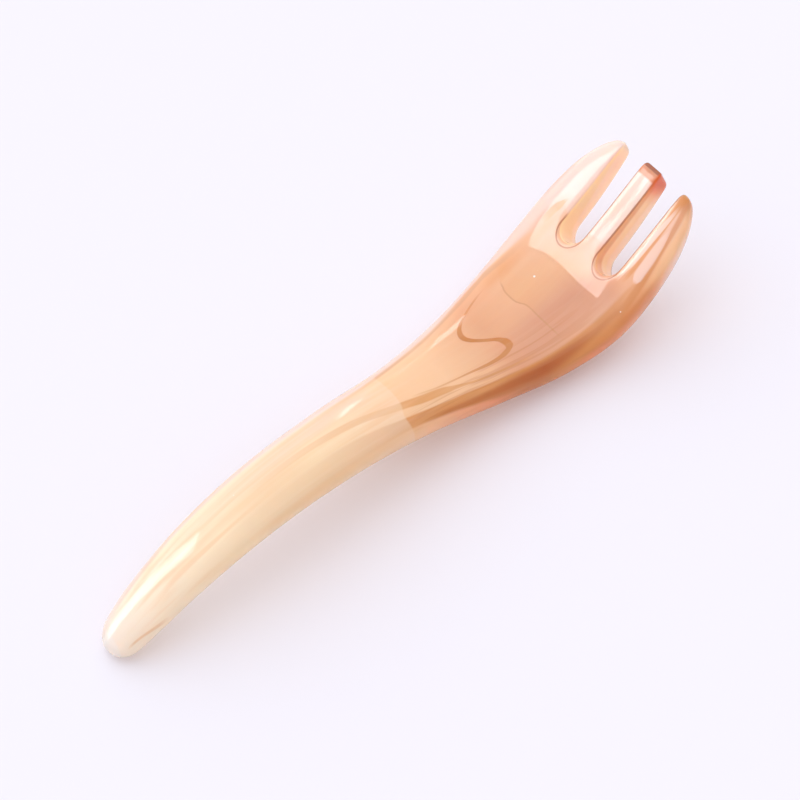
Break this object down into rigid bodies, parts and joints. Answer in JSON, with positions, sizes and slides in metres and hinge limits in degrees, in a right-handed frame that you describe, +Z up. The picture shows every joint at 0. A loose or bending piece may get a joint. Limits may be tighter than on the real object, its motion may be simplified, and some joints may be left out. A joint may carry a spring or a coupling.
{
  "type": "scalp massage comb",
  "caption": "Fork-shaped scalp massage comb in glossy marbled horn-look resin, with an S-curved handle and blunt upturned tines, lying on a table.",
  "frame": {"origin": "on the table, under the middle of the comb's bounding box as it lies at rest", "axes": "+X along the comb from the handle's end to the tines, +Y across the tines, +Z up from the table"},
  "size_m": [0.1614, 0.0362, 0.0293],
  "materials": {
    "horn_resin": "polished translucent peach and cream resin with brown flow streaks"
  },
  "bodies": {
    "root": {"comb": "horn_resin"}
  },
  "joints": []
}
